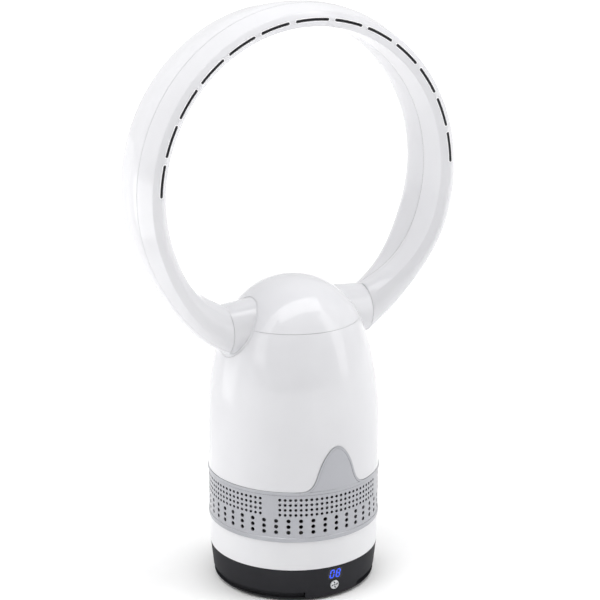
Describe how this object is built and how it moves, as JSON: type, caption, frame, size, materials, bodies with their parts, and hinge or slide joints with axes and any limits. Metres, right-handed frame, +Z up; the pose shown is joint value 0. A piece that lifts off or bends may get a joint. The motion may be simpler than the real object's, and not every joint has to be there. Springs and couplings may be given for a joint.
{
  "type": "bladeless fan",
  "caption": "Free-standing bladeless table fan with a slotted air ring that tilts on round collars, a perforated intake band and a base on which the body swings.",
  "frame": {"origin": "centre of the base on the floor, in the plane of the undersides of the feet", "axes": "+Z up, the front with the display and the slots faces -Y, +X to the right seen from the front"},
  "size_m": [0.3694, 0.1864, 0.6244],
  "materials": {
    "white_gloss": "gloss",
    "white_satin": "satin",
    "black_satin": "satin",
    "silver_paint": "satin metallic",
    "dark_plastic": "matte",
    "grey_plastic": "matte",
    "gear_plastic": "satin",
    "smoked_window": "gloss",
    "lit_digits": "lit",
    "silver_button": "satin",
    "circuit_board": "satin",
    "soft_rubber": "matte",
    "steel": "plain"
  },
  "bodies": {
    "base": {"base_shell": "black_satin", "bottom_cover": "black_satin", "rubber_feet": "soft_rubber", "cover_screws": "steel", "display_window": "smoked_window", "display_digits": "lit_digits", "display_module": "dark_plastic", "control_board": "circuit_board", "push_switch": "dark_plastic", "power_inlet": "dark_plastic", "gear_motor": "steel", "thrust_ring": "gear_plastic"},
    "button": {"power_button": "silver_button"},
    "pinion": {"swing_pinion": "gear_plastic"},
    "upper": {"swing_gear": "gear_plastic", "gear_screws": "steel", "turntable": "dark_plastic", "lower_skirt": "white_satin", "intake_frame": "dark_plastic", "frame_screws": "steel", "intake_grille": "silver_paint", "impeller_shroud": "dark_plastic", "motor": "steel", "motor_bush": "soft_rubber", "diffuser": "grey_plastic", "head_duct": "grey_plastic", "body_shell": "white_gloss", "dome_cap": "white_gloss", "collar_left": "white_gloss", "collar_right": "white_gloss", "tilt_bushes": "gear_plastic"},
    "rotor": {"impeller": "grey_plastic", "motor_shaft": "steel"},
    "ring": {"trunnions": "grey_plastic", "ring_front_shell": "white_gloss", "ring_rear_shell": "white_gloss", "outlet_strip": "dark_plastic"}
  },
  "joints": [
    {"name": "body_swing", "type": "hinge", "parent": "base", "child": "upper", "pos_m": [0, 0, 0.0376], "axis": [0, 0, 1], "range_deg": [-45, 45]},
    {"name": "pinion_spin", "type": "hinge", "parent": "base", "child": "pinion", "pos_m": [0.05625, 0, 0.032], "axis": [0, 0, 1], "range_deg": [-180, 180]},
    {"name": "ring_tilt", "type": "hinge", "parent": "upper", "child": "ring", "pos_m": [0, 0, 0.2889], "axis": [1, 0, 0], "range_deg": [-10, 10]},
    {"name": "impeller_spin", "type": "hinge", "parent": "upper", "child": "rotor", "pos_m": [0, 0, 0.155], "axis": [0, 0, 1], "continuous": true},
    {"name": "button_press", "type": "slide", "parent": "base", "child": "button", "axis": [0, 1, 0], "range_m": [0, 0.0008], "stiffness_N_per_m": 500, "springref_m": -0.0006}
  ],
  "couplings": [
    {"joint": "pinion_spin", "follows": "body_swing", "ratio": -4}
  ]
}
